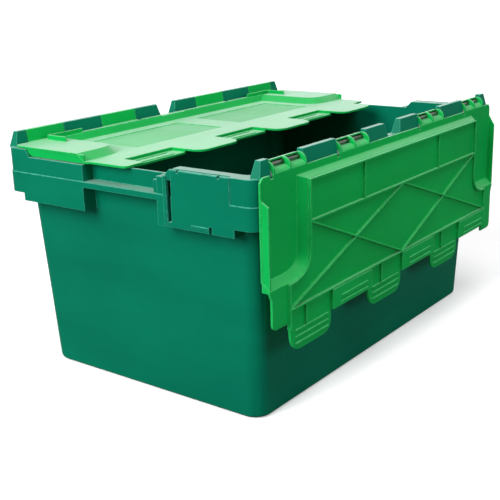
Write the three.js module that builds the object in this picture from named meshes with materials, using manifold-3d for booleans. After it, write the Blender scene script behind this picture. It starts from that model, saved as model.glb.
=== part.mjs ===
// Attached lid tote: a tapered moulded body with two moulded lid leaves that swing on steel wires.
// Millimetres. +X runs along the hinge lines, +Y points to the rear leaf, +Z is up.
// The origin is the middle of the underside. The rear leaf is closed and the front leaf hangs open.
import * as THREE from "three";
import { mergeVertices } from "three/addons/utils/BufferGeometryUtils.js";
import Module from "manifold-3d";

const wasm = await Module();
wasm.setup();

// ---- body ----
const BODY_HALF_X = 300;
const BODY_HALF_Y = 200;
const BASE_HALF_X = 269.6;
const BASE_HALF_Y = 174.7;
const DRAFT = Math.tan(THREE.MathUtils.degToRad(2.5));
const WALL = 3;
const WALL_RADIUS = 20;
const FOOT_RADIUS = 5; // rounding between the walls and the underside
const FLOOR_TOP = 3.5;
const RIM_TOP = 296.5;
const SHELF_TOP = 287; // lowered part of each end rim, where the leaves drop in

// ---- collar: the hollow band round the top of the body ----
const COLLAR_RADIUS = 16;
const COLLAR_BOTTOM = 240;
const BAND_TOP = 266.5; // the lower band stands proud of the upper one
const BAND_STEP = 1;
const SKIN = 2.5;
const LONG_ROOF = 291; // ceiling of the hollow under the long rims
const END_ROOF = 283; // ceiling of the hollow under the end rims
const BLOCK_BOTTOM = 230;
const BLOCK_HALF_Y = 170;
const GUSSET = 2;
const GUSSET_PITCH = 69;
const GUSSET_RISE = 6; // the gussets stop short of the open underside
const END_GUSSET_Y = 117;
const END_START = 260; // everything built onto the end walls lies beyond this distance from the middle
const OVERSHOOT = 5; // how far a cut runs on past the surface it opens

// ---- hand grip in each end ----
const GRIP_HALF_Y = 60;
const LIP_TOP = 266.5;
const LIP_BOTTOM = 263.5;
const LIP_EDGE_BOTTOM = 259.5;

// ---- hinge lines ----
const PIN_Y = 193.2;
const PIN_Z = 307.2;
const PIN_RADIUS = 2;
const BORE_RADIUS = 2.35;
const WIRE_START = 26; // the wires end inside the fixed blocks
const WIRE_END = 279;
const WIRE_END_GAP = 0.5;
const RIDGE_TOP = 315.2;
const RIDGE_TOP_HALF = 3.4;
const RIDGE_BASE_HALF = 6.8;
const RIDGE_LEAN = 6; // slope of the free ends of the ridge
const KNUCKLE_GAP = 1;
const SCOOP_RADIUS = 12.5; // room in the rim for the turning knuckles
const SCOOP_SIDES = 32;
const SWEEP_GAP = 1.3; // room between the body and a stacking lug that swings into it
// Ends of the fixed blocks on one side of the middle gap, as distances from the middle.
const FIXED_BLOCKS = [
  [21, 68],
  [138, 207],
  [272, 286],
];
const MOVING_KNUCKLES = [
  [68, 138],
  [207, 272],
];

// ---- lid leaf, in its own frame: x along the pin, y from the pin to the free edge, z up ----
const LEAF_HALF_X = 296.2;
const LEAF_START = 8.4;
const PLATE_JOIN = 10.8; // how far the knuckles reach into the plate
const WALL_FOOT = 0.8; // where the outer wall of a moving knuckle ends
const SHEET = 2.5;
const HIGH_TOP = -7.6; // rim-level plate
const LOW_TOP = -16.5; // sunken panel and tongues
const LOW_SHEET = 2.8;
const LEDGE_TOP = -20.9; // slotted ledges under the other leaf's tongues
const SLOPE_WIDTH = 11; // width of the sloping border between the two levels
const HINGE_SLOPE_SHARE = 0.45; // the border is steeper along the hinge
const PANEL_HALF_X = 221;
const PANEL_START = 21;
const PANEL_BEND = 100;
const PANEL_MOUTH = 131;
const PANEL_MOUTH_HALF_X = 262;
const LOW_HALF_X = 292;
const LEDGE_START = 166;
const LEDGE_END = 188;
const TONGUE_END = 215;
const NEAR_EAR_END = 178;
const FAR_EAR_END = 199;
const FINGER_PITCH = 173.3;
const FINGER = FINGER_PITCH / 2;
const FINGER_GAP = 0.8;
const TONGUES = [-1.5 * FINGER_PITCH, -0.5 * FINGER_PITCH, 0.5 * FINGER_PITCH];
const RIB = 2;
const RIB_BOTTOM = -22.6;
const RIDGE_DEPTH = 1.3; // shallow ridges under each tongue
const LEDGE_BAR_HEIGHT = 1.3;
const RAIL_TOP = -6.7; // low rail along the hinge side of the panel
const RAIL_END = 185;
// Stacking lug: an L-shaped upright at each end of the leaf that locates the next tote.
const LUG_TOP = -1.6;
const LUG_THICKNESS = 1.8;
const LUG_INNER_X = 187;
const LUG_OUTER_X = 247;
const LUG_START = 16;
const LUG_END = 50;
const BORDER_INSET = 1.7;
const BEAM = 162; // distance of the long rib beside the ledges
const CORNER_X = 261;
const SWING = Math.PI * 1.5; // how far the hanging leaf has turned from closed

const GREEN_BODY = new THREE.MeshStandardMaterial({ color: 0x087a5a, roughness: 0.45, metalness: 0 });
const GREEN_LEAF = new THREE.MeshStandardMaterial({ color: 0x0a9a48, roughness: 0.38, metalness: 0 });
const STEEL = new THREE.MeshStandardMaterial({ color: 0x7a7d78, roughness: 0.35, metalness: 1 });

// ---- making and joining solids ----

// A closed surface as a solid that can be joined and cut.
function solidOf(geometry) {
  const bare = geometry.index ? geometry.toNonIndexed() : geometry.clone();
  bare.deleteAttribute("normal");
  bare.deleteAttribute("uv");
  const merged = mergeVertices(bare, 1e-4);
  return new wasm.Manifold(
    new wasm.Mesh({
      numProp: 3,
      vertProperties: merged.attributes.position.array,
      triVerts: new Uint32Array(merged.index.array),
    }),
  );
}

function meshOf(name, solid, material) {
  const { vertProperties, triVerts } = solid.getMesh();
  const geometry = new THREE.BufferGeometry();
  geometry.setAttribute("position", new THREE.BufferAttribute(vertProperties, 3));
  geometry.setIndex(new THREE.BufferAttribute(triVerts, 1));
  geometry.computeVertexNormals();
  const mesh = new THREE.Mesh(geometry, material);
  mesh.name = name;
  return mesh;
}

function join(solids) {
  return solids.reduce((whole, solid) => whole.add(solid));
}

function cut(solid, tools) {
  return solid.subtract(join(tools));
}

function box(x0, x1, y0, y1, z0, z1) {
  const geometry = new THREE.BoxGeometry(x1 - x0, y1 - y0, z1 - z0);
  geometry.translate((x0 + x1) / 2, (y0 + y1) / 2, (z0 + z1) / 2);
  return solidOf(geometry);
}

// The same box at both ends of the body or leaf.
function endBoxes(x0, x1, y0, y1, z0, z1) {
  return [box(x0, x1, y0, y1, z0, z1), box(-x1, -x0, y0, y1, z0, z1)];
}

// A shape in the x-y plane, extruded from z0 to z1.
function upright(shape, z0, z1, curveSegments = 6) {
  const geometry = new THREE.ExtrudeGeometry(shape, {
    depth: z1 - z0, bevelEnabled: false, curveSegments,
  });
  geometry.translate(0, 0, z0);
  return solidOf(geometry);
}

// An outline given as [y, z] points, extruded along x. A lean draws the top of an end inwards.
function alongX(outline, x0, x1, { leanStart = 0, leanEnd = 0 } = {}) {
  const shape = new THREE.Shape(outline.map(([y, z]) => new THREE.Vector2(y, z)));
  const geometry = new THREE.ExtrudeGeometry(shape, { depth: x1 - x0, bevelEnabled: false });
  geometry.applyMatrix4(new THREE.Matrix4().set(0, 0, 1, x0, 1, 0, 0, 0, 0, 1, 0, 0, 0, 0, 0, 1));
  const heights = outline.map(([, z]) => z);
  const top = Math.max(...heights);
  const height = top - Math.min(...heights);
  const position = geometry.attributes.position;
  for (let i = 0; i < position.count; i++) {
    const drop = (top - position.getZ(i)) / height;
    const lean = position.getX(i) < (x0 + x1) / 2 ? -leanStart : leanEnd;
    position.setX(i, position.getX(i) + lean * drop);
  }
  return solidOf(geometry);
}

// A round bar along x.
function barAlongX(radius, x0, x1, y, z, segments = 16) {
  const geometry = new THREE.CylinderGeometry(radius, radius, x1 - x0, segments);
  geometry.rotateZ(Math.PI / 2);
  geometry.translate((x0 + x1) / 2, y, z);
  return solidOf(geometry);
}

function roundedRectangle(halfX, halfY, radius) {
  const shape = new THREE.Shape();
  shape.absarc(halfX - radius, halfY - radius, radius, 0, Math.PI / 2);
  shape.absarc(radius - halfX, halfY - radius, radius, Math.PI / 2, Math.PI);
  shape.absarc(radius - halfX, radius - halfY, radius, Math.PI, Math.PI * 1.5);
  shape.absarc(halfX - radius, radius - halfY, radius, Math.PI * 1.5, Math.PI * 2);
  return shape;
}

// A solid whose section is a rounded rectangle that grows with height: sections are [z, halfX, halfY].
function loft(sections, radius) {
  const [, firstX, firstY] = sections[0];
  const steps = sections.length - 1;
  const geometry = new THREE.ExtrudeGeometry(roundedRectangle(firstX, firstY, radius), {
    depth: steps, steps, bevelEnabled: false, curveSegments: 6,
  });
  const position = geometry.attributes.position;
  for (let i = 0; i < position.count; i++) {
    const [z, halfX, halfY] = sections[Math.round(position.getZ(i))];
    const x = position.getX(i);
    const y = position.getY(i);
    position.setXYZ(i, x + Math.sign(x) * (halfX - firstX), y + Math.sign(y) * (halfY - firstY), z);
  }
  return solidOf(geometry);
}

// ---- body ----

function wallSection(z, inset) {
  return [z, BASE_HALF_X + z * DRAFT - inset, BASE_HALF_Y + z * DRAFT - inset];
}

function wallSolid(top) {
  const footSteps = [0, 0.2, 0.5, 1];
  const foot = footSteps.map((share) => {
    const z = share * FOOT_RADIUS;
    const inset = FOOT_RADIUS - Math.sqrt(FOOT_RADIUS ** 2 - (FOOT_RADIUS - z) ** 2);
    return wallSection(z, inset);
  });
  return loft([...foot, wallSection(top, 0)], WALL_RADIUS);
}

function insideSolid() {
  return loft([wallSection(FLOOR_TOP, WALL), wallSection(RIM_TOP + 20, WALL)], WALL_RADIUS - WALL);
}

function collarSolid() {
  const upperX = BODY_HALF_X - BAND_STEP;
  const upperY = BODY_HALF_Y - BAND_STEP;
  return join([
    upright(roundedRectangle(BODY_HALF_X, BODY_HALF_Y, COLLAR_RADIUS), COLLAR_BOTTOM, BAND_TOP),
    upright(roundedRectangle(upperX, upperY, COLLAR_RADIUS - BAND_STEP), BAND_TOP - 1, RIM_TOP),
    ...endBoxes(END_START, BODY_HALF_X, -BLOCK_HALF_Y, BLOCK_HALF_Y, BLOCK_BOTTOM, COLLAR_BOTTOM + 1),
  ]);
}

// The hollow between the collar's skin and the wall, open underneath, with gussets left standing.
function collarHollow(wall) {
  const innerX = BODY_HALF_X - BAND_STEP - SKIN;
  const innerY = BODY_HALF_Y - BAND_STEP - SKIN;
  const innerOutline = roundedRectangle(innerX, innerY, COLLAR_RADIUS - BAND_STEP - SKIN);
  const blockY = BLOCK_HALF_Y - SKIN;
  const hollow = join([
    upright(innerOutline, COLLAR_BOTTOM - 1, LONG_ROOF),
    ...endBoxes(END_START, innerX, -blockY, blockY, BLOCK_BOTTOM - 1, COLLAR_BOTTOM),
  ]);
  const gripSide = GRIP_HALF_Y + SKIN;
  const kept = [
    wall,
    ...endBoxes(END_START, BODY_HALF_X, -BLOCK_HALF_Y, BLOCK_HALF_Y, END_ROOF, RIM_TOP),
    ...endBoxes(END_START, BODY_HALF_X, -gripSide, gripSide, BLOCK_BOTTOM, RIM_TOP),
  ];
  const half = GUSSET / 2;
  for (const y of [-END_GUSSET_Y, END_GUSSET_Y]) {
    kept.push(...endBoxes(END_START, BODY_HALF_X, y - half, y + half, BLOCK_BOTTOM + GUSSET_RISE, RIM_TOP));
  }
  for (let i = -3.5; i <= 3.5; i++) {
    const x = i * GUSSET_PITCH;
    kept.push(box(x - half, x + half, -BODY_HALF_Y, BODY_HALF_Y, COLLAR_BOTTOM + GUSSET_RISE, RIM_TOP));
  }
  return cut(hollow, kept);
}

// The open space of both hand grips: above the lip, and under it.
function gripSpace(wall) {
  const outside = BODY_HALF_X + OVERSHOOT;
  const lipInside = BODY_HALF_X - SKIN;
  const space = join([
    ...endBoxes(END_START, outside, -GRIP_HALF_Y, GRIP_HALF_Y, LIP_TOP, RIM_TOP + OVERSHOOT),
    ...endBoxes(END_START, lipInside, -GRIP_HALF_Y, GRIP_HALF_Y, LIP_EDGE_BOTTOM - 1, LIP_BOTTOM),
    ...endBoxes(END_START, outside, -GRIP_HALF_Y, GRIP_HALF_Y, BLOCK_BOTTOM - OVERSHOOT, LIP_EDGE_BOTTOM),
  ]);
  return space.subtract(wall);
}

// A small step stands on the lip at the front end of each grip.
function gripSteps() {
  const stepWidth = 7;
  const stepTop = 282;
  return endBoxes(280, 297, -GRIP_HALF_Y - 1, stepWidth - GRIP_HALF_Y, LIP_TOP - 1, stepTop);
}

// What is taken off the end rims so that the leaves can lie in them.
function rimNotch() {
  const shelfRear = 156;
  const rearRun = 6;
  const shelfFront = -70;
  const frontRun = RIM_TOP - SHELF_TOP;
  const above = RIM_TOP + OVERSHOOT;
  const outline = [
    [shelfFront, SHELF_TOP],
    [shelfRear, SHELF_TOP],
    [shelfRear + rearRun, RIM_TOP],
    [shelfRear + rearRun, above],
    [shelfFront - frontRun, above],
    [shelfFront - frontRun, RIM_TOP],
  ];
  return alongX(outline, -BODY_HALF_X - OVERSHOOT, BODY_HALF_X + OVERSHOOT);
}

// Grooves in the high parts of each end rim take the end skirts of both leaves.
function skirtGrooves() {
  const inner = 292.8;
  const outer = 296.5;
  const bottom = SHELF_TOP - 0.3;
  const top = RIM_TOP + OVERSHOOT;
  const farStart = 172.5; // the far end's skirt starts nearer the hinge
  const nearStart = 163;
  const frontEnd = 60;
  const rearEnd = 150;
  return [
    box(inner, outer, -farStart, -frontEnd, bottom, top),
    box(-outer, -inner, -nearStart, -frontEnd, bottom, top),
    box(-outer, -inner, rearEnd, farStart, bottom, top),
  ];
}

// Label pocket on the front half of each end: a proud flange, a slot beside it and a clip below.
function labelPocket() {
  const outside = BODY_HALF_X + OVERSHOOT;
  const proud = BODY_HALF_X + 0.8;
  const slot = endBoxes(288, outside, -81, -76, 236, 284);
  const clipNotch = endBoxes(294, outside, -139, -135, BLOCK_BOTTOM - 1, 238);
  const tick = 1.5;
  const rimTicks = [-92, -150].flatMap((y) =>
    endBoxes(296, outside, y - tick, y + tick, RIM_TOP - 2 * tick, RIM_TOP + 1));
  const flange = endBoxes(296, proud, -75.5, -70.5, BLOCK_BOTTOM + 1, 289);
  const plate = endBoxes(298, BODY_HALF_X, -BLOCK_HALF_Y + 5, -82, BAND_TOP - 2, RIM_TOP - 0.5);
  const clip = endBoxes(298, proud, -134, -110, 233, 236.5);
  return {
    added: [...flange, ...plate, ...clip],
    taken: [...slot, ...clipNotch, ...rimTicks],
  };
}

function ridgeOutline() {
  const centre = PIN_Y;
  return [
    [centre - RIDGE_BASE_HALF, RIM_TOP - 1],
    [centre + RIDGE_BASE_HALF, RIM_TOP - 1],
    [centre + RIDGE_TOP_HALF, RIDGE_TOP],
    [centre - RIDGE_TOP_HALF, RIDGE_TOP],
  ];
}

function mirrored(outline) {
  return outline.map(([y, z]) => [-y, z]).reverse();
}

function fixedBlocks() {
  const blocks = [];
  for (const outline of [ridgeOutline(), mirrored(ridgeOutline())]) {
    FIXED_BLOCKS.forEach(([start, end], i) => {
      const leanStart = i === 0 ? RIDGE_LEAN : 0;
      const leanEnd = i === FIXED_BLOCKS.length - 1 ? RIDGE_LEAN : 0;
      blocks.push(alongX(outline, start, end, { leanStart, leanEnd }));
      blocks.push(alongX(outline, -end, -start, { leanStart: leanEnd, leanEnd: leanStart }));
    });
  }
  return blocks;
}

function hingeCuts() {
  const tools = [];
  const boreStart = WIRE_START - WIRE_END_GAP;
  const boreEnd = WIRE_END + WIRE_END_GAP;
  for (const y of [-PIN_Y, PIN_Y]) {
    tools.push(barAlongX(BORE_RADIUS, boreStart, boreEnd, y, PIN_Z));
    tools.push(barAlongX(BORE_RADIUS, -boreEnd, -boreStart, y, PIN_Z));
    for (const [start, end] of MOVING_KNUCKLES) {
      tools.push(barAlongX(SCOOP_RADIUS, start, end, y, PIN_Z, SCOOP_SIDES));
      tools.push(barAlongX(SCOOP_RADIUS, -end, -start, y, PIN_Z, SCOOP_SIDES));
    }
  }
  return tools;
}

// L-shaped slots in the long sides of the collar, where the lugs of a hanging leaf go in.
function lugSlots() {
  const inner = PIN_Y - LUG_TOP - SWEEP_GAP / 2;
  const outer = BODY_HALF_Y + OVERSHOOT;
  const top = PIN_Z - LUG_START + SWEEP_GAP;
  const armBottom = PIN_Z - LUG_START - LUG_THICKNESS - SWEEP_GAP / 2;
  const legBottom = PIN_Z - LUG_END - SWEEP_GAP;
  const x0 = LUG_INNER_X - SWEEP_GAP / 2;
  const x1 = LUG_OUTER_X + SWEEP_GAP / 2;
  const legX = LUG_OUTER_X - LUG_THICKNESS - SWEEP_GAP / 2;
  return [[inner, outer], [-outer, -inner]].flatMap(([y0, y1]) => [
    ...endBoxes(x0, x1, y0, y1, armBottom, top),
    ...endBoxes(legX, x1, y0, y1, legBottom, top),
  ]);
}

function toteBody() {
  const wall = wallSolid(RIM_TOP);
  const pocket = labelPocket();
  const collar = join([collarSolid().subtract(collarHollow(wall)), ...pocket.added]);
  const shell = join([wall, collar, ...fixedBlocks()]);
  const gripped = join([shell.subtract(gripSpace(wall)), ...gripSteps()]);
  return cut(gripped, [
    insideSolid(),
    rimNotch(),
    ...skirtGrooves(),
    ...lugSlots(),
    ...pocket.taken,
    ...hingeCuts(),
  ]);
}

// ---- lid leaf ----

// Outline of the sunken level, which runs out past the ends and the free edge of the leaf.
function sunkenShape(inset = 0) {
  const beyond = 330;
  const side = PANEL_HALF_X - inset;
  const mouth = PANEL_MOUTH + inset;
  const shape = new THREE.Shape();
  shape.moveTo(-side, PANEL_START + inset);
  shape.lineTo(side, PANEL_START + inset);
  shape.lineTo(side, PANEL_BEND);
  shape.quadraticCurveTo(side, mouth, PANEL_MOUTH_HALF_X, mouth);
  shape.lineTo(beyond, mouth);
  shape.lineTo(beyond, beyond);
  shape.lineTo(-beyond, beyond);
  shape.lineTo(-beyond, mouth);
  shape.lineTo(-PANEL_MOUTH_HALF_X, mouth);
  shape.quadraticCurveTo(-side, mouth, -side, PANEL_BEND);
  return shape;
}

// The sunken level as a solid whose border slopes outwards as it rises from z0 to z1.
function sunkenSolid(z0, z1, inset) {
  const height = z1 - z0;
  const geometry = new THREE.ExtrudeGeometry(sunkenShape(), {
    depth: 1,
    curveSegments: 6,
    bevelEnabled: true,
    bevelSegments: 1,
    bevelThickness: height,
    bevelSize: SLOPE_WIDTH,
    bevelOffset: -inset,
  });
  geometry.translate(0, 0, z1);
  const position = geometry.attributes.position;
  for (let i = 0; i < position.count; i++) {
    const run = PANEL_START + inset - position.getY(i);
    if (run > 0) position.setY(i, PANEL_START + inset - run * HINGE_SLOPE_SHARE);
  }
  const limit = 320;
  return solidOf(geometry).intersect(box(-limit, limit, 0, limit, z0, z1));
}

// The free edge in plan: a short ear, then tongue and ledge in turn, then a long ear.
function leafShape() {
  const shape = new THREE.Shape();
  const earRadius = 8;
  const chamfer = 5;
  const endOfHigh = PANEL_MOUTH + 3;
  const startOfLow = PANEL_MOUTH + 12;
  shape.moveTo(-LEAF_HALF_X, LEAF_START + chamfer);
  shape.lineTo(-LEAF_HALF_X + chamfer, LEAF_START);
  shape.lineTo(LEAF_HALF_X - chamfer, LEAF_START);
  shape.lineTo(LEAF_HALF_X, LEAF_START + chamfer);
  shape.lineTo(LEAF_HALF_X, endOfHigh);
  shape.lineTo(LOW_HALF_X, startOfLow);
  shape.lineTo(LOW_HALF_X, FAR_EAR_END - earRadius);
  shape.quadraticCurveTo(LOW_HALF_X, FAR_EAR_END, LOW_HALF_X - earRadius, FAR_EAR_END);
  const ledgeSide = 1.5 * FINGER_PITCH;
  shape.lineTo(ledgeSide + FINGER_GAP, FAR_EAR_END);
  shape.lineTo(ledgeSide + FINGER_GAP, LEDGE_END);
  for (const start of [...TONGUES].reverse()) {
    const left = start + FINGER_GAP;
    const right = start + FINGER - FINGER_GAP;
    shape.lineTo(right, LEDGE_END);
    shape.lineTo(right, TONGUE_END - 15);
    shape.quadraticCurveTo(right - 2, TONGUE_END, right - 18, TONGUE_END);
    shape.lineTo(left + 20, TONGUE_END);
    shape.quadraticCurveTo(left + 1, TONGUE_END, left, TONGUE_END - 24);
    shape.lineTo(left, start === TONGUES[0] ? NEAR_EAR_END : LEDGE_END);
  }
  shape.lineTo(-LOW_HALF_X + earRadius, NEAR_EAR_END);
  shape.quadraticCurveTo(-LOW_HALF_X, NEAR_EAR_END, -LOW_HALF_X, NEAR_EAR_END - earRadius);
  shape.lineTo(-LOW_HALF_X, startOfLow);
  shape.lineTo(-LEAF_HALF_X, endOfHigh);
  return shape;
}

function leafSheet() {
  const lowBottom = LOW_TOP - LOW_SHEET;
  const high = box(-LEAF_HALF_X, LEAF_HALF_X, LEAF_START, PANEL_MOUTH + 3, HIGH_TOP - SHEET, HIGH_TOP);
  const whole = join([high, sunkenSolid(lowBottom, HIGH_TOP, 0)]);
  const hollow = sunkenSolid(LOW_TOP, HIGH_TOP + 0.01, SHEET);
  return whole.subtract(hollow).intersect(upright(leafShape(), lowBottom - 1, HIGH_TOP + 1, 8));
}

// Shallow rectangular label recesses in the sunken panel.
function labelRecesses() {
  const depth = 0.8;
  return endBoxes(22, 198, 44, 128, LOW_TOP - depth, LOW_TOP + 1);
}

// A low rail on each half of the leaf, along the edge where the plate drops to the panel.
function hingeRails() {
  return endBoxes(26, RAIL_END, 17, 18.3, HIGH_TOP - 1, RAIL_TOP);
}

function stackingLugs() {
  const bottom = HIGH_TOP - 1.2;
  const armEnd = LUG_START + LUG_THICKNESS;
  return [
    ...endBoxes(LUG_INNER_X, LUG_OUTER_X, LUG_START, armEnd, bottom, LUG_TOP),
    ...endBoxes(LUG_OUTER_X - LUG_THICKNESS, LUG_OUTER_X, LUG_START, LUG_END, bottom, LUG_TOP),
  ];
}

// A small notch through the plate at one foot of every knuckle.
function footNotches() {
  return MOVING_KNUCKLES.flatMap(([start, end]) => [start, -end]).map((x) =>
    box(x - 6, x + 0.6, RIDGE_BASE_HALF - 1, 12.6, HIGH_TOP - 4, HIGH_TOP + 1));
}

function ledgeBlock(start) {
  const end = start + FINGER;
  const side = 2.2;
  const bottom = LEDGE_TOP - LOW_SHEET;
  return join([
    box(start - side, end + side, LEDGE_START - SHEET, LEDGE_END, bottom, LEDGE_TOP),
    box(start - side, end + side, LEDGE_START - SHEET, LEDGE_START, bottom, LOW_TOP),
    box(start - side, start, LEDGE_START - SHEET, LEDGE_END, bottom, LOW_TOP),
    box(end, end + side, LEDGE_START - SHEET, LEDGE_END, bottom, LOW_TOP),
  ]);
}

// Long straight bars on a ledge, one in each row.
function ledgeBars(start, rows, width, z0, z1) {
  const centre = start + FINGER / 2 + 4;
  const halfLength = 31;
  return rows.map((y) =>
    box(centre - halfLength, centre + halfLength, y - width / 2, y + width / 2, z0, z1));
}

// Two bars stand on each ledge and two flatter ones run under it.
function allLedgeBars(start) {
  const bottom = LEDGE_TOP - LOW_SHEET;
  return [
    ...ledgeBars(start, [171.5, 184], 2.4, LEDGE_TOP - 1, LEDGE_TOP + LEDGE_BAR_HEIGHT),
    ...ledgeBars(start, [176.5, 184.5], 3.4, bottom - 0.9, bottom + 1),
  ];
}

// A straight rib on the underside between two points in plan.
function underRib([x0, y0], [x1, y1], bottom = RIB_BOTTOM) {
  const length = Math.hypot(x1 - x0, y1 - y0);
  const top = LOW_TOP - 1;
  const geometry = new THREE.BoxGeometry(length, RIB, top - bottom);
  geometry.rotateZ(Math.atan2(y1 - y0, x1 - x0));
  geometry.translate((x0 + x1) / 2, (y0 + y1) / 2, (top + bottom) / 2);
  return solidOf(geometry);
}

// The rib that follows the border of the sunken panel, down to the mouth at each end.
function borderRib() {
  const outside = BORDER_INSET - RIB / 2;
  const inside = BORDER_INSET + RIB / 2;
  const bottom = RIB_BOTTOM - 0.3;
  const band = upright(sunkenShape(outside), bottom, LOW_TOP - 1)
    .subtract(upright(sunkenShape(inside), bottom - 1, LOW_TOP));
  return band.intersect(box(-CORNER_X, CORNER_X, 0, PANEL_MOUTH + 5, RIB_BOTTOM - 2, LOW_TOP + 2));
}

function underRibs() {
  const crossRib = 70;
  const shortRibX = 100;
  const fingerRib = 30; // distance of the rib under each tongue from the tongue's near side
  const tongueRidges = [191, 199, 207];
  const borderX = PANEL_HALF_X - BORDER_INSET;
  const ribs = [
    borderRib(),
    underRib([-borderX, crossRib], [borderX, crossRib]),
    underRib([-CORNER_X, BEAM], [CORNER_X, BEAM], RIB_BOTTOM - 0.5),
  ];
  for (const side of [-1, 1]) {
    ribs.push(underRib([side * shortRibX, PANEL_START + BORDER_INSET], [side * shortRibX, crossRib]));
    ribs.push(underRib([side * borderX, crossRib], [0, BEAM]));
    ribs.push(underRib([side * CORNER_X, BEAM], [0, crossRib]));
    ribs.push(underRib([side * CORNER_X, PANEL_MOUTH + BORDER_INSET], [side * CORNER_X, LEDGE_END - 2]));
  }
  for (const start of TONGUES) {
    ribs.push(underRib([start + fingerRib, BEAM], [start + fingerRib, LEDGE_END]));
    for (const y of tongueRidges) {
      ribs.push(underRib([start + 10, y], [start + FINGER - 8, y], LOW_TOP - LOW_SHEET - RIDGE_DEPTH));
    }
  }
  return ribs;
}

// End skirts: a drop flange at each end of the leaf. The far one starts nearer the hinge, in a sweep.
function endSkirts() {
  const bottom = -19.2;
  const freeEnd = [
    [PANEL_MOUTH - 2, bottom],
    [PANEL_MOUTH + 3, HIGH_TOP - 9],
    [PANEL_MOUTH + 3, HIGH_TOP - 1],
  ];
  const sweep = new THREE.QuadraticBezierCurve(
    new THREE.Vector2(23, HIGH_TOP - 1.5),
    new THREE.Vector2(36, bottom + 2.6),
    new THREE.Vector2(39, bottom),
  );
  const farStart = sweep.getPoints(5).map((point) => [point.x, point.y]);
  const inner = 293.5;
  const outer = 295.8;
  return [
    alongX([[23, HIGH_TOP - 1], ...farStart, ...freeEnd], inner, outer),
    alongX([[32, HIGH_TOP - 1], [38.5, bottom], ...freeEnd], -outer, -inner),
  ];
}

// Outline of a moving knuckle, [y, z] from the pin. Its outer foot is rounded away so that it can turn.
function knuckleOutline() {
  const top = RIDGE_TOP - PIN_Z;
  const bottom = HIGH_TOP - SHEET;
  const footY = 5.5;
  const footReach = 10.6;
  const outline = [
    [PLATE_JOIN, bottom],
    [PLATE_JOIN, HIGH_TOP],
    [RIDGE_BASE_HALF - 0.5, HIGH_TOP],
    [RIDGE_TOP_HALF, top],
    [-RIDGE_TOP_HALF, top],
  ];
  const arcSteps = 6;
  for (let i = 0; i <= arcSteps; i++) {
    const angle = (i / arcSteps) * (Math.PI / 2);
    const y = footY - footReach * Math.cos(angle);
    outline.push([y, WALL_FOOT + (bottom - WALL_FOOT) * Math.sin(angle)]);
  }
  return outline;
}

// The room under a moving knuckle between its webs: a trough that flares out into the plate.
function knuckleRoom() {
  const skin = 1.9;
  const top = RIDGE_TOP - PIN_Z - skin;
  const below = HIGH_TOP - SHEET - 3;
  const beyond = -RIDGE_BASE_HALF - 3;
  const trough = new THREE.QuadraticBezierCurve(
    new THREE.Vector2(3, -1),
    new THREE.Vector2(3.9, -7.8),
    new THREE.Vector2(8.4, HIGH_TOP - SHEET - 0.1),
  );
  const flare = trough.getPoints(6).map((point) => [point.x, point.y]);
  return [
    [RIDGE_TOP_HALF - skin, top],
    [-RIDGE_TOP_HALF + skin, top],
    [-RIDGE_TOP_HALF, WALL_FOOT],
    [beyond, WALL_FOOT],
    [beyond, below],
    [8.6, below],
    ...flare.reverse(),
  ];
}

// Moving knuckle: a hood over the pin, stiffened by three webs that carry it.
function knuckle(start, end) {
  const x0 = start + KNUCKLE_GAP;
  const x1 = end - KNUCKLE_GAP;
  const web = 2.4;
  const middle = (x0 + x1) / 2;
  const hood = alongX(knuckleOutline(), x0, x1).subtract(alongX(knuckleRoom(), x0 - 1, x1 + 1));
  const webs = [x0, middle - web / 2, x1 - web].map((x) => alongX(knuckleOutline(), x, x + web));
  return join([hood, ...webs]).subtract(barAlongX(BORE_RADIUS, x0 - 1, x1 + 1, 0, 0));
}

function lidLeaf() {
  const ledges = TONGUES.map((start) => start + FINGER);
  const openings = ledges.map((start) =>
    box(start, start + FINGER, LEDGE_START, LEDGE_END + 1, LEDGE_TOP, HIGH_TOP));
  const sheet = cut(leafSheet(), [...openings, ...labelRecesses()]);
  const knuckles = MOVING_KNUCKLES.flatMap(([start, end]) => [knuckle(start, end), knuckle(-end, -start)]);
  const whole = join([
    sheet,
    ...ledges.map(ledgeBlock),
    ...ledges.flatMap(allLedgeBars),
    ...underRibs(),
    ...endSkirts(),
    ...hingeRails(),
    ...stackingLugs(),
    ...knuckles,
  ]);
  return cut(whole, footNotches());
}

// ---- hinge wires ----

function hingeWire() {
  return barAlongX(PIN_RADIUS, WIRE_START, WIRE_END, 0, 0);
}

// ---- assembly ----

function hingeWires(side, y) {
  const line = new THREE.Group();
  line.position.set(0, y, PIN_Z);
  const near = meshOf(side + "_hinge_wire_near", hingeWire(), STEEL);
  near.rotation.z = Math.PI;
  line.add(near, meshOf(side + "_hinge_wire_far", hingeWire(), STEEL));
  return line;
}

function placedLeaf(name, y, turnAboutZ, turnAboutX) {
  const hinge = new THREE.Group();
  hinge.position.set(0, y, PIN_Z);
  hinge.rotation.set(turnAboutX, 0, turnAboutZ);
  hinge.add(meshOf(name, lidLeaf(), GREEN_LEAF));
  return hinge;
}

const tote = new THREE.Group();
tote.add(meshOf("tote_body", toteBody(), GREEN_BODY));
tote.add(placedLeaf("rear_lid", PIN_Y, Math.PI, 0));
tote.add(placedLeaf("front_lid", -PIN_Y, 0, SWING));
tote.add(hingeWires("rear", PIN_Y));
tote.add(hingeWires("front", -PIN_Y));

export default tote;
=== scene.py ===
# Looks of the attached lid tote: moulded green plastic body, two lighter lid leaves and steel hinge wires.
# Metres, in the frame of the part: +X along the hinge lines, +Y to the closed rear leaf, +Z up.
import math
from typing import NamedTuple

import bmesh
import bpy
from mathutils import Matrix, Vector


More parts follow.
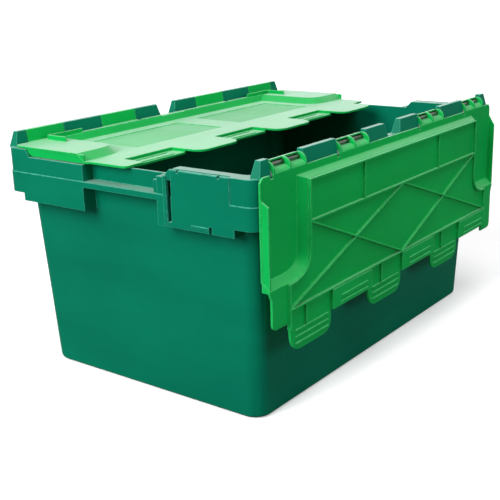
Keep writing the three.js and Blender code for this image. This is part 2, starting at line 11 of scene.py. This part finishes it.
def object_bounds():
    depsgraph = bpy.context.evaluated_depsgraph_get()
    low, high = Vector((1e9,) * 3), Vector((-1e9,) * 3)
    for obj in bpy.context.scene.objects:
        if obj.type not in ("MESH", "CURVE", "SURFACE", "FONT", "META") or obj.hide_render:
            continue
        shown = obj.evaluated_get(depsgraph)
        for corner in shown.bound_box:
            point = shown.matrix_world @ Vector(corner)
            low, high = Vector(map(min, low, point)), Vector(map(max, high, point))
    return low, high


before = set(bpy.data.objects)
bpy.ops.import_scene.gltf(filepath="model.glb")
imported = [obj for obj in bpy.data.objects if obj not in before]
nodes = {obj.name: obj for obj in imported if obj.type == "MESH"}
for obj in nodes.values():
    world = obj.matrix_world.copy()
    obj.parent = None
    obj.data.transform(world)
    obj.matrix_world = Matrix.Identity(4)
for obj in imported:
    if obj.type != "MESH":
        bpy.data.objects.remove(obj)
size_at_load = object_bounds()

BODY_NODE = "tote_body"
WIRE_NODES = [name for name in nodes if "wire" in name]

# ---- sizes of the tote that the materials follow ----
PIN_Y = 0.1932
PIN_Z = 0.3072
BASE_HALF_X = 0.2696
BASE_HALF_Y = 0.1747
WALL = 0.003
WALL_SPREAD = math.tan(math.radians(2.5))
# Each leaf has two label areas, measured from the middle of the tote and from the pin.
LABEL_INNER_X = 0.022
LABEL_OUTER_X = 0.198
LABEL_START = 0.0442
LABEL_END = 0.1282
# Heights that hold the upper face of the closed leaf, and depths that hold that of the hanging one.
CLOSED_LEAF_Z = (0.2, 0.4)
HANGING_LEAF_Y = (-0.211, -0.2)

# ---- camera, where the photographer stood ----
CAMERA_PLACE = Vector((-1.0470, -0.7586, 0.5096))
CAMERA_FORWARD = Vector((0.76082, 0.57865, -0.29381))
CAMERA_RIGHT = Vector((0.59815, -0.80088, -0.02840))
SENSOR_MM = 36
FOCAL_MM = 66.53

# ---- edges ----
WELD_DISTANCE = 0.00002
CREASE_ANGLE = math.radians(24)
EDGE_RADIUS = 0.0012

# ---- colours, linear ----
BODY_GREEN = (0.001, 0.205, 0.112)
BODY_DEEP = (0.0006, 0.165, 0.094)
# Pale edge colour of the body: rubbed wear and a painted highlight along the edges.
BODY_EDGE_WEAR_AND_HIGHLIGHT = (0.10, 0.62, 0.46)
LEAF_GREEN = (0.005, 0.480, 0.092)
LEAF_DEEP = (0.003, 0.390, 0.070)
# Pale edge colour of the leaves: rubbed wear and a painted highlight along the edges.
LEAF_EDGE_WEAR_AND_HIGHLIGHT = (0.12, 0.85, 0.30)
STEEL = (0.24, 0.25, 0.23)
STEEL_DULL = (0.14, 0.14, 0.12)
FLOOR_WHITE = (0.93, 0.93, 0.93)
FLOOR_BOUNCE = (0.22, 0.22, 0.22)
DUST_TINT = (0.82, 1.0, 0.93)
PLAIN_WHITE = (1, 1, 1)

# ---- how the plastic is worn, and its painted edge highlight ----
PLASTIC_ROUGHNESS = 0.40
PLASTIC_IOR = 1.49
EDGE_WEAR_AND_HIGHLIGHT_RADIUS = 0.0016
SCRATCH_STRENGTH = 0.08
WORN_ROUGHNESS = 0.4
LABEL_ROUGHNESS = 0.15
LABEL_DUST_LOSS = 0.4
GRAIN_SCALE = 1400.0
GRAIN_DEPTH = 0.0002
WAVE_SCALE = 11.0
WAVE_DEPTH = 0.004

# ---- light ----
WORLD_FILL = 0.12
WORLD_REFLECTED = 0.75
TOTE_MIDDLE = (0, 0, 0.2)
FLOOR_RADIUS = 60.0
FLOOR_DROP = 0.0004


class Plastic(NamedTuple):
    """Looks of one moulding. Hollows get painted shade down to hollow_depth, and are fully lit where
    hollow_open is seen.
    """

    colour: tuple
    deep: tuple
    edge: tuple
    dust: float
    hollow_reach: float
    hollow_open: float
    hollow_depth: float


BODY_LOOK = Plastic(BODY_GREEN, BODY_DEEP, BODY_EDGE_WEAR_AND_HIGHLIGHT, dust=0.65,
                    hollow_reach=0.22, hollow_open=0.45, hollow_depth=0.05)
LEAF_LOOK = Plastic(LEAF_GREEN, LEAF_DEEP, LEAF_EDGE_WEAR_AND_HIGHLIGHT, dust=0.95,
                    hollow_reach=0.015, hollow_open=0.6, hollow_depth=0.7)


# ---- node helpers ----

class Graph:
    """A material's node tree with one-line ways to add and link nodes."""

    def __init__(self, name):
        self.material = bpy.data.materials.new(name)
        self.material.use_nodes = True
        self.tree = self.material.node_tree
        self.tree.nodes.clear()

    def add(self, kind, settings=None, **inputs):
        node = self.tree.nodes.new(kind)
        for key, value in (settings or {}).items():
            setattr(node, key, value)
        for key, value in inputs.items():
            self.feed(node.inputs[key.replace("_", " ")], value)
        return node

    def feed(self, socket, value):
        if isinstance(value, bpy.types.NodeSocket):
            self.tree.links.new(value, socket)
        elif isinstance(value, tuple) and len(value) == 3 and socket.type == "RGBA":
            socket.default_value = (*value, 1)
        else:
            socket.default_value = value

    def math(self, operation, first, second=0.0):
        node = self.add("ShaderNodeMath", {"operation": operation})
        self.feed(node.inputs[0], first)
        self.feed(node.inputs[1], second)
        return node.outputs[0]

    def mix(self, factor, first, second, blend="MIX"):
        node = self.add("ShaderNodeMix", {"data_type": "RGBA", "blend_type": blend})
        self.feed(node.inputs[0], factor)
        self.feed(node.inputs[6], first)
        self.feed(node.inputs[7], second)
        return node.outputs[2]

    def ramp(self, value, low, high, low_out=0.0, high_out=1.0):
        node = self.add("ShaderNodeMapRange", {"clamp": True})
        for socket, number in zip(node.inputs, (value, low, high, low_out, high_out)):
            self.feed(socket, number)
        return node.outputs[0]

    def place(self, scale):
        """Coordinates that stay with the piece, stretched by scale."""
        coords = self.add("ShaderNodeTexCoord").outputs["Object"]
        mapping = self.add("ShaderNodeMapping", Vector=coords)
        mapping.inputs["Scale"].default_value = scale
        return mapping.outputs["Vector"]

    def noise(self, scale, detail=2.0, roughness=0.5, stretch=(1, 1, 1)):
        node = self.add("ShaderNodeTexNoise", Vector=self.place(stretch), Scale=scale, Detail=detail,
                        Roughness=roughness)
        return node.outputs["Fac"]

    def grey(self, value):
        return self.add("ShaderNodeCombineColor", Red=value, Green=value, Blue=value).outputs[0]

    def finish(self, shader):
        output = self.add("ShaderNodeOutputMaterial")
        self.tree.links.new(shader.outputs[0], output.inputs["Surface"])
        return self.material


def edge_mask(graph, radius):
    """1 on the outer and inner edges of a piece, 0 on its flats."""
    rounded = graph.add("ShaderNodeBevel", {"samples": 4}, Radius=radius).outputs["Normal"]
    flat = graph.add("ShaderNodeNewGeometry").outputs["Normal"]
    dot = graph.add("ShaderNodeVectorMath", {"operation": "DOT_PRODUCT"})
    graph.feed(dot.inputs[0], rounded)
    graph.feed(dot.inputs[1], flat)
    return graph.ramp(dot.outputs["Value"], 0.995, 0.85)


def scratch_mask(graph, scale, stretch, threshold):
    """Thin broken streaks, as boxes sliding over each other leave."""
    streaks = graph.noise(scale, detail=3.0, roughness=0.7, stretch=stretch)
    patches = graph.noise(9.0, detail=2.0)
    thin = graph.ramp(streaks, threshold, threshold + 0.05)
    return graph.math("MULTIPLY", thin, graph.ramp(patches, 0.48, 0.66))


def box_mask(graph, low, high):
    """1 inside the box between two corners, in the frame at rest."""
    coords = graph.add("ShaderNodeSeparateXYZ", Vector=graph.place((1, 1, 1)))
    inside = 1.0
    for axis, bottom, top in zip("XYZ", low, high):
        above = graph.math("GREATER_THAN", coords.outputs[axis], bottom)
        below = graph.math("LESS_THAN", coords.outputs[axis], top)
        inside = graph.math("MULTIPLY", inside, graph.math("MULTIPLY", above, below))
    return inside


def cavity_mask(graph):
    """1 on the inside faces of the body, 0 on everything outside its walls."""
    coords = graph.add("ShaderNodeSeparateXYZ", Vector=graph.place((1, 1, 1)))
    spread = graph.math("MULTIPLY", coords.outputs["Z"], WALL_SPREAD)
    inside = 1.0
    for axis, outside in (("X", BASE_HALF_X), ("Y", BASE_HALF_Y)):
        distance = graph.math("ABSOLUTE", coords.outputs[axis])
        limit = graph.math("ADD", spread, outside - WALL / 2)
        within = graph.math("LESS_THAN", distance, limit)
        inside = graph.math("MULTIPLY", inside, within)
    return inside


def label_boxes(y_range, z_range):
    """The two label areas of a leaf, as boxes at rest."""
    spans = ((LABEL_INNER_X, LABEL_OUTER_X), (-LABEL_OUTER_X, -LABEL_INNER_X))
    return [
        ((start, y_range[0], z_range[0]), (end, y_range[1], z_range[1]))
        for start, end in spans
    ]


# ---- materials ----

def clouded_colour(graph, look):
    clouds = graph.noise(5.0, detail=4.0, roughness=0.6)
    flow = graph.noise(3.0, detail=3.0, stretch=(1.0, 1.0, 6.0))
    tone = graph.math("MULTIPLY", graph.math("ADD", clouds, flow), 0.5)
    return graph.mix(graph.ramp(tone, 0.36, 0.62), look.deep, look.colour)


def hollow_shade(graph, look, cavity_only):
    """Painted shade: how much light reaches a spot, multiplied into the colour. With cavity_only just the
    inside of the body is darkened.
    """
    hollow = graph.add("ShaderNodeAmbientOcclusion", {"samples": 6}, Distance=look.hollow_reach)
    lit = graph.ramp(hollow.outputs["AO"], 0.08, look.hollow_open, look.hollow_depth, 1.0)
    if not cavity_only:
        return lit
    lost = graph.math("MULTIPLY", graph.math("SUBTRACT", 1.0, lit), cavity_mask(graph))
    return graph.math("SUBTRACT", 1.0, lost)


def wear_and_edge_highlight(graph):
    """Rubbed edges with a painted highlight along them, broken up by fine noise, and faint scratches."""
    broken = graph.ramp(graph.noise(130.0, detail=5.0, roughness=0.65), 0.38, 0.62, 0.3, 0.9)
    rubbed_and_highlit_edges = graph.math("MULTIPLY", edge_mask(graph, EDGE_WEAR_AND_HIGHLIGHT_RADIUS), broken)
    scratches = scratch_mask(graph, 240.0, (0.12, 0.12, 1.0), 0.66)
    return graph.math("MAXIMUM", rubbed_and_highlit_edges, graph.math("MULTIPLY", scratches, SCRATCH_STRENGTH))


def label_mask(graph, label_areas):
    label = 0.0
    for low, high in label_areas:
        label = graph.math("ADD", label, box_mask(graph, low, high))
    return label


def moulded_normal(graph):
    """Rounded edges, slow waves of the moulded sheet and a fine grain."""
    rounded = graph.add("ShaderNodeBevel", {"samples": 4}, Radius=EDGE_RADIUS).outputs["Normal"]
    height = graph.noise(WAVE_SCALE, detail=1.0)
    waves = graph.add("ShaderNodeBump", Strength=0.12, Distance=WAVE_DEPTH, Height=height, Normal=rounded)
    grain = graph.noise(GRAIN_SCALE, detail=2.0)
    bump = graph.add("ShaderNodeBump", Strength=0.16, Distance=GRAIN_DEPTH, Height=grain,
                     Normal=waves.outputs[0])
    return bump.outputs[0]


def dust_veil(graph, shader, look, smears, label):
    """A pale veil and a stronger reflection on faces that look up, thinner where they were wiped."""
    normal = graph.add("ShaderNodeNewGeometry").outputs["Normal"]
    upward = graph.add("ShaderNodeSeparateXYZ", Vector=normal).outputs["Z"]
    graph.feed(shader.inputs["Specular IOR Level"], graph.ramp(upward, 0.2, 0.9, 0.05, 0.55))
    smeared = graph.ramp(smears, 0.35, 0.65, 0.75, 1.0)
    wiped = graph.math("SUBTRACT", smeared, graph.math("MULTIPLY", label, LABEL_DUST_LOSS))
    veil = graph.math("MULTIPLY", graph.ramp(upward, 0.5, 0.95, 0.0, look.dust), wiped)
    graph.feed(shader.inputs["Sheen Weight"], veil)
    graph.feed(shader.inputs["Sheen Roughness"], 0.45)
    graph.feed(shader.inputs["Sheen Tint"], DUST_TINT)


def moulded_plastic(name, look, label_areas=(), cavity_only=False):
    graph = Graph(name)
    shade = hollow_shade(graph, look, cavity_only)
    # Painted shade in the hollows darkens the clouded colour.
    shaded = graph.mix(1.0, clouded_colour(graph, look), graph.grey(shade), "MULTIPLY")
    wear_and_highlight = wear_and_edge_highlight(graph)
    # Rubbed wear and a painted edge highlight mix the colour towards the pale edge colour.
    base = graph.mix(wear_and_highlight, shaded, look.edge)

    smears = graph.noise(14.0, detail=4.0, roughness=0.6)
    label = label_mask(graph, label_areas)
    rough = graph.ramp(smears, 0.3, 0.7, PLASTIC_ROUGHNESS - 0.05, PLASTIC_ROUGHNESS + 0.07)
    rough = graph.math("ADD", rough, graph.math("MULTIPLY", wear_and_highlight, WORN_ROUGHNESS))
    rough = graph.math("ADD", rough, graph.math("MULTIPLY", label, LABEL_ROUGHNESS))

    shader = graph.add("ShaderNodeBsdfPrincipled", Base_Color=base, Roughness=rough,
                       Normal=moulded_normal(graph), IOR=PLASTIC_IOR)
    dust_veil(graph, shader, look, smears, label)
    return graph.finish(shader)


# Steel in a dark grey, with duller patches.
def dark_steel_wire(name):
    graph = Graph(name)
    drawn = graph.noise(900.0, detail=3.0, stretch=(0.02, 1.0, 1.0))
    patches = graph.noise(120.0, detail=3.0)
    base = graph.mix(graph.ramp(patches, 0.4, 0.65), STEEL, STEEL_DULL)
    gloss = graph.ramp(drawn, 0.3, 0.7, 0.22, 0.42)
    bump = graph.add("ShaderNodeBump", Strength=0.25, Distance=0.0001, Height=drawn)
    shader = graph.add("ShaderNodeBsdfPrincipled", Base_Color=base, Metallic=1.0, Roughness=gloss,
                       Normal=bump.outputs[0])
    return graph.finish(shader)


def pale_floor(name):
    """Near white, and a little lit from within for the camera so that it reads as a studio sweep."""
    graph = Graph(name)
    speck = graph.ramp(graph.noise(60.0, detail=3.0), 0.3, 0.7, 0.985, 1.0)
    colour = graph.mix(1.0, FLOOR_WHITE, graph.grey(speck), "MULTIPLY")
    seen = graph.add("ShaderNodeLightPath").outputs["Is Camera Ray"]
    spot = graph.add("ShaderNodeVectorMath", {"operation": "LENGTH"})
    graph.feed(spot.inputs[0], graph.place((1, 1, 1)))
    glow = graph.math("MULTIPLY", seen, graph.ramp(spot.outputs["Value"], 0.7, 3.5, 0.42, 1.0))
    base = graph.mix(seen, FLOOR_BOUNCE, colour)
    shader = graph.add("ShaderNodeBsdfPrincipled", Base_Color=base, Roughness=0.9)
    graph.feed(shader.inputs["Emission Color"], PLAIN_WHITE)
    graph.feed(shader.inputs["Emission Strength"], glow)
    return graph.finish(shader)


def paint(piece, material):
    piece.data.materials.clear()
    piece.data.materials.append(material)


# ---- pieces ----

def crease_group():
    """Geometry nodes that shade a piece smooth but keep every edge above CREASE_ANGLE sharp."""
    group = bpy.data.node_groups.new("crease_by_angle", "GeometryNodeTree")
    group.interface.new_socket("Geometry", in_out="INPUT", socket_type="NodeSocketGeometry")
    group.interface.new_socket("Geometry", in_out="OUTPUT", socket_type="NodeSocketGeometry")
    start = group.nodes.new("NodeGroupInput")
    end = group.nodes.new("NodeGroupOutput")
    angle = group.nodes.new("GeometryNodeInputMeshEdgeAngle")
    gentle = group.nodes.new("FunctionNodeCompare")
    gentle.operation = "LESS_THAN"
    gentle.inputs["B"].default_value = CREASE_ANGLE
    faces = group.nodes.new("GeometryNodeSetShadeSmooth")
    edges = group.nodes.new("GeometryNodeSetShadeSmooth")
    edges.domain = "EDGE"
    group.links.new(angle.outputs["Unsigned Angle"], gentle.inputs["A"])
    group.links.new(start.outputs[0], faces.inputs["Geometry"])
    group.links.new(faces.outputs[0], edges.inputs["Geometry"])
    group.links.new(gentle.outputs["Result"], edges.inputs["Shade Smooth"])
    group.links.new(edges.outputs[0], end.inputs[0])
    return group


def clean_shading(piece, group):
    """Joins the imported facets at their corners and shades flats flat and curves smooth."""
    weld = piece.modifiers.new("weld", "WELD")
    weld.merge_threshold = WELD_DISTANCE
    creases = piece.modifiers.new("creases", "NODES")
    creases.node_group = group
    weights = piece.modifiers.new("weights", "WEIGHTED_NORMAL")
    weights.keep_sharp = True


def studio_floor():
    bm = bmesh.new()
    bmesh.ops.create_circle(bm, cap_ends=True, radius=FLOOR_RADIUS, segments=96)
    mesh = bpy.data.meshes.new("studio_floor")
    bm.to_mesh(mesh)
    bm.free()
    floor = bpy.data.objects.new("studio_floor", mesh)
    bpy.context.scene.collection.objects.link(floor)
    floor.location.z = size_at_load[0][2] - FLOOR_DROP
    return floor


# ---- light and camera ----

def softbox(name, place, target, width, height, watts):
    light = bpy.data.lights.new(name, "AREA")
    light.shape = "RECTANGLE"
    light.size = width
    light.size_y = height
    light.energy = watts
    lamp = bpy.data.objects.new(name, light)
    bpy.context.scene.collection.objects.link(lamp)
    lamp.location = place
    lamp.rotation_euler = (Vector(target) - Vector(place)).to_track_quat("-Z", "Y").to_euler()


def studio_light():
    softbox("key_left", (-2.3, 0.3, 1.5), TOTE_MIDDLE, width=1.6, height=1.6, watts=68)
    softbox("back_low", (2.4, 1.9, 1.1), (0, 0, 0.3), width=3.4, height=1.3, watts=14)
    softbox("overhead", (-0.4, -0.7, 2.3), TOTE_MIDDLE, width=1.2, height=1.2, watts=28)
    softbox("fill_front", (0.4, -2.6, 1.0), TOTE_MIDDLE, width=1.4, height=1.0, watts=14)


def white_world():
    """White to the camera, bright in reflections and faint as a light, so that shadows stay."""
    world = bpy.data.worlds.new("studio")
    world.use_nodes = True
    tree = world.node_tree
    background = tree.nodes["Background"]
    path = tree.nodes.new("ShaderNodeLightPath")
    value = WORLD_FILL
    for ray, strength in (("Is Glossy Ray", WORLD_REFLECTED), ("Is Camera Ray", 1.0)):
        choice = tree.nodes.new("ShaderNodeMapRange")
        if isinstance(value, float):
            choice.inputs["To Min"].default_value = value
        else:
            tree.links.new(value, choice.inputs["To Min"])
        choice.inputs["To Max"].default_value = strength
        tree.links.new(path.outputs[ray], choice.inputs["Value"])
        value = choice.outputs[0]
    tree.links.new(value, background.inputs["Strength"])
    background.inputs["Color"].default_value = (1, 1, 1, 1)
    bpy.context.scene.world = world


def photo_camera():
    up = CAMERA_RIGHT.cross(CAMERA_FORWARD)
    turn = Matrix((CAMERA_RIGHT, up, -CAMERA_FORWARD)).transposed()
    data = bpy.data.cameras.new("photo_camera")
    data.sensor_width = SENSOR_MM
    data.lens = FOCAL_MM
    camera = bpy.data.objects.new("photo_camera", data)
    camera.matrix_world = Matrix.Translation(CAMERA_PLACE) @ turn.to_4x4()
    bpy.context.scene.collection.objects.link(camera)
    bpy.context.scene.camera = camera


# ---- the tote ----

closed_labels = label_boxes((PIN_Y - LABEL_END, PIN_Y - LABEL_START), CLOSED_LEAF_Z)
hanging_labels = label_boxes(HANGING_LEAF_Y, (PIN_Z - LABEL_END, PIN_Z - LABEL_START))
body_plastic = moulded_plastic("body_plastic", BODY_LOOK, cavity_only=True)
leaf_plastic = {
    "rear_lid": moulded_plastic("rear_lid_plastic", LEAF_LOOK, label_areas=closed_labels),
    "front_lid": moulded_plastic("front_lid_plastic", LEAF_LOOK, label_areas=hanging_labels),
}
hinge_steel = dark_steel_wire("hinge_steel")

creases = crease_group()
paint(nodes[BODY_NODE], body_plastic)
for name, plastic in leaf_plastic.items():
    paint(nodes[name], plastic)
for name in WIRE_NODES:
    paint(nodes[name], hinge_steel)
for piece in nodes.values():
    clean_shading(piece, creases)

paint(studio_floor(), pale_floor("studio_floor"))
white_world()
studio_light()
photo_camera()
bpy.context.scene.view_settings.view_transform = "Standard"
